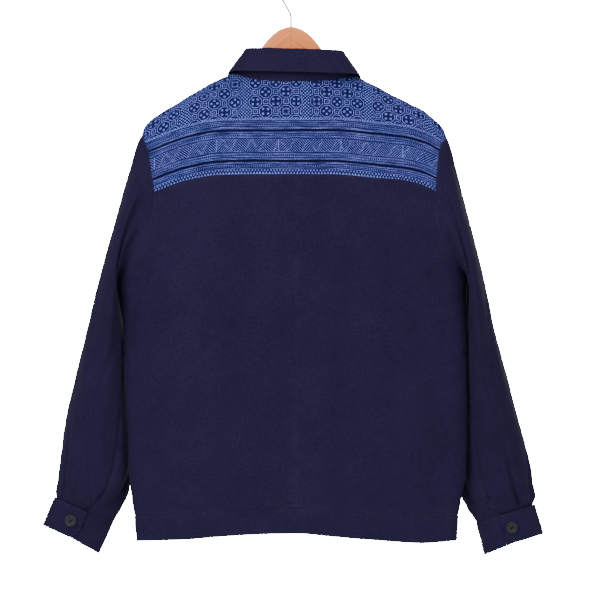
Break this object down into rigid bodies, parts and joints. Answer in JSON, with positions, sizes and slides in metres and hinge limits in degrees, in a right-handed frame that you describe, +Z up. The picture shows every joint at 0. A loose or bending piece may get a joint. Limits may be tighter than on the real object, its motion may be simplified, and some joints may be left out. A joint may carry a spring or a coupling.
{
  "type": "batik-yoke jacket on a wooden hanger",
  "caption": "Long-sleeved indigo cotton shirt jacket with a blue batik back yoke, collar, cuffs and hem band, buttoned and hanging from a wooden hanger.",
  "frame": {"origin": "inner top of the hanger's hook, where a rail carries it", "axes": "+Z up, the back of the jacket faces -Y, +X is the wearer's right"},
  "size_m": [0.7543, 0.1465, 0.8714],
  "materials": {
    "navy_cotton": "matte plain weave",
    "batik_cotton": "matte, pale wax-resist lines",
    "button": "mottled horn-like, soft polish",
    "hanger_wood": "satin varnish",
    "hook_wire": "plated wire"
  },
  "bodies": {
    "root": {"back_left": "navy_cotton", "back_right": "navy_cotton", "front_left": "navy_cotton", "front_right": "navy_cotton", "front_placket": "navy_cotton", "hem_band_back": "navy_cotton", "hem_band_front_left": "navy_cotton", "hem_band_front_right": "navy_cotton", "sleeve_left": "navy_cotton", "sleeve_right": "navy_cotton", "cuff_left": "navy_cotton", "cuff_right": "navy_cotton", "collar_stand": "navy_cotton", "collar_fall": "navy_cotton", "yoke": "batik_cotton", "front_button_1": "button", "front_button_2": "button", "front_button_3": "button", "front_button_4": "button", "front_button_5": "button", "front_button_6": "button", "front_button_7": "button", "cuff_button_left": "button", "cuff_button_right": "button", "hanger": "hanger_wood", "hanger_hook": "hook_wire"}
  },
  "joints": []
}
